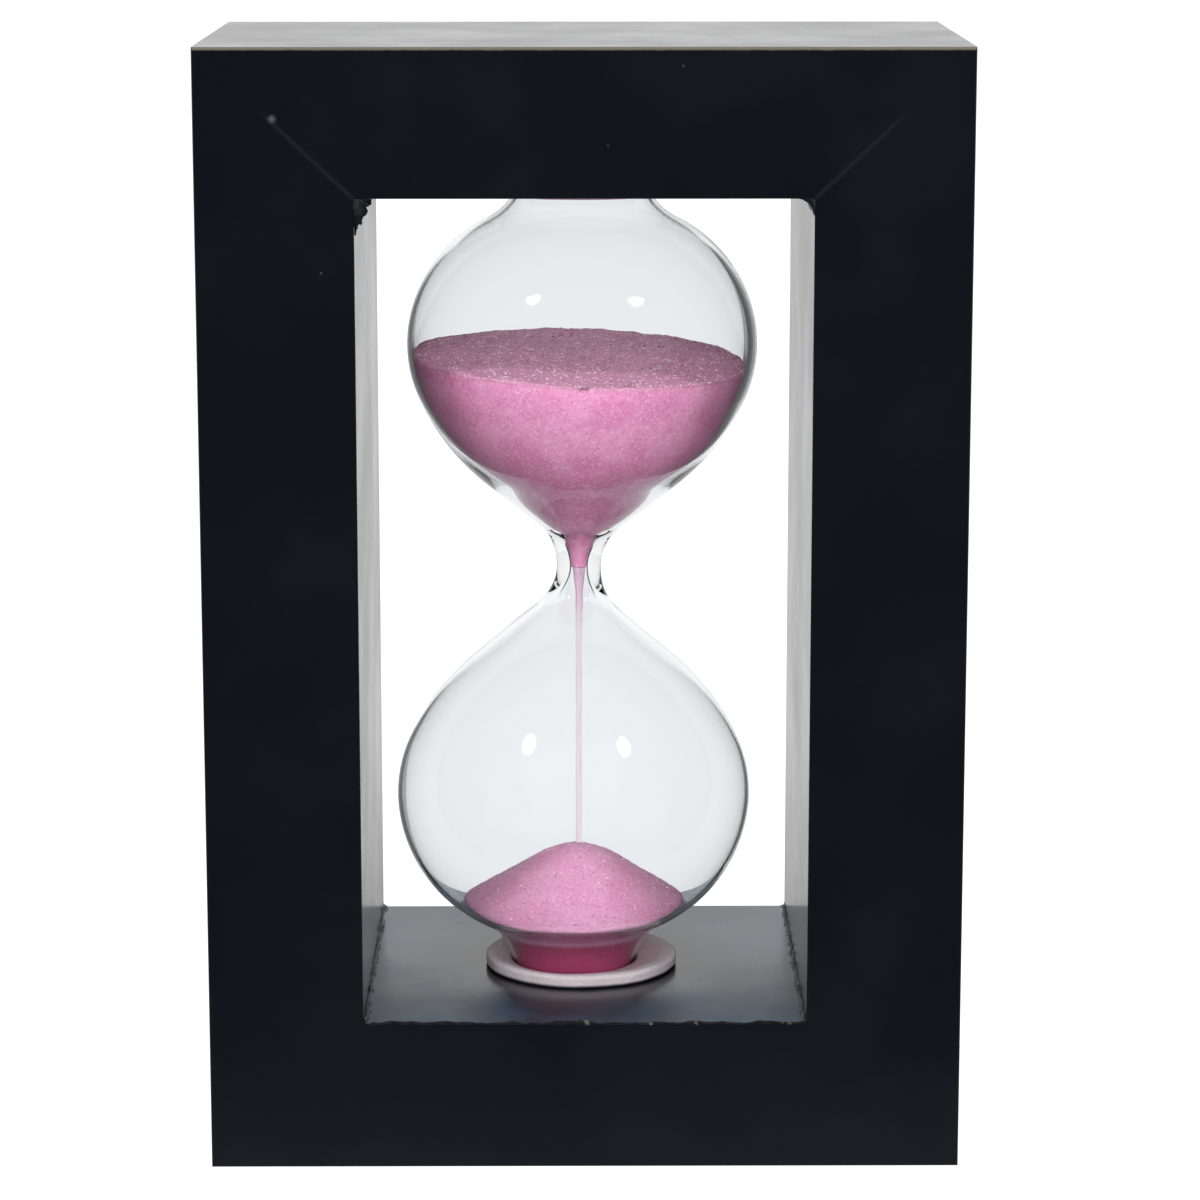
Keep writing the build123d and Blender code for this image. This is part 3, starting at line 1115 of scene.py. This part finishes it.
def makeFloor():
    bm = bmesh.new()
    bmesh.ops.create_grid(bm, x_segments=1, y_segments=1, size=studio["floorSize"])
    mesh = bpy.data.meshes.new("studioFloor")
    bm.to_mesh(mesh)
    bm.free()
    floor = bpy.data.objects.new("studioFloor", mesh)
    bpy.context.scene.collection.objects.link(floor)
    paint = Paint("paleFloor")
    x, y, z = paint.axes(paint.point())
    light, seen, mirrored = roomLight(paint, y, *studio["floorFade"])
    glow = studio["floorGlow"]
    strength = seen * (1 - glow) + mirrored * (studio["floorSheen"] - glow) + glow
    shining = paint.add("ShaderNodeEmission", None, {"Color": light, "Strength": strength})["Emission"]
    scatter = paint.mix(mirrored, studio["floorScatter"], black)
    matte = paint.add("ShaderNodeBsdfDiffuse", None, {"Color": scatter})["BSDF"]
    both = paint.add("ShaderNodeAddShader", None, {0: shining, 1: matte})["Shader"]
    mesh.materials.append(paint.surface(both))
    floor.active_material.cycles.emission_sampling = "NONE"  # as for the world below


def makeWorld():
    world = bpy.data.worlds.new("studioSurround")
    bpy.context.scene.world = world
    paint = Paint("studioSurround", world)
    x, y, z = paint.axes(paint.add("ShaderNodeTexCoord")["Generated"])
    light, seen, mirrored = roomLight(paint, y, *studio["roomFade"])
    shining = paint.add("ShaderNodeBackground", None, {"Color": light, "Strength": 1.0})["Background"]
    paint.add("ShaderNodeOutputWorld", None, {"Surface": shining})
    world.cycles.sampling_method = "NONE"  # sampled light would miss what kind each ray is


def makeLamp(name, shape, size, power, azimuth, elevation):
    light = bpy.data.lights.new(name, "AREA")
    light.shape = shape
    light.size, light.size_y = size
    light.energy = power
    lamp = bpy.data.objects.new(name, light)
    bpy.context.scene.collection.objects.link(lamp)
    turn, rise = math.radians(azimuth), math.radians(elevation)
    away = Vector((math.sin(turn) * math.cos(rise), -math.cos(turn) * math.cos(rise), math.sin(rise)))
    lamp.location = (cadLow + cadHigh) / 2 + away * studio["lampDistance"]
    lamp.rotation_mode = "QUATERNION"
    lamp.rotation_quaternion = away.to_track_quat("Z", "Y")
    return lamp


def makeLamps():
    for index, (azimuth, elevation) in enumerate(studio["lamps"]):
        size, power = studio["lampSize"], studio["lampPower"]
        makeLamp(f"softLamp{index}", "ELLIPSE", size, power, azimuth, elevation)
    # a broad weak fill that leaves no reflection of its own
    fill = makeLamp("frontFill", "RECTANGLE", studio["fillSize"], studio["fillPower"], *studio["fill"])
    fill.visible_glossy = False
    fill.visible_transmission = False
    fill.visible_camera = False


def makeCamera():
    # In front of the frame and a little above its top, looking down
    data = bpy.data.cameras.new("viewer")
    data.lens = view["lens"]
    data.sensor_width = view["sensor"]
    data.clip_start, data.clip_end = view["clip"]
    camera = bpy.data.objects.new("viewer", data)
    bpy.context.scene.collection.objects.link(camera)
    camera.location = view["place"]
    camera.rotation_euler = (math.radians(90 - view["down"]), 0, math.radians(view["turn"]))
    bpy.context.scene.camera = camera


makeFloor()
makeWorld()
makeLamps()
makeCamera()
bpy.context.scene.view_settings.view_transform = "Standard"
print("studio set")
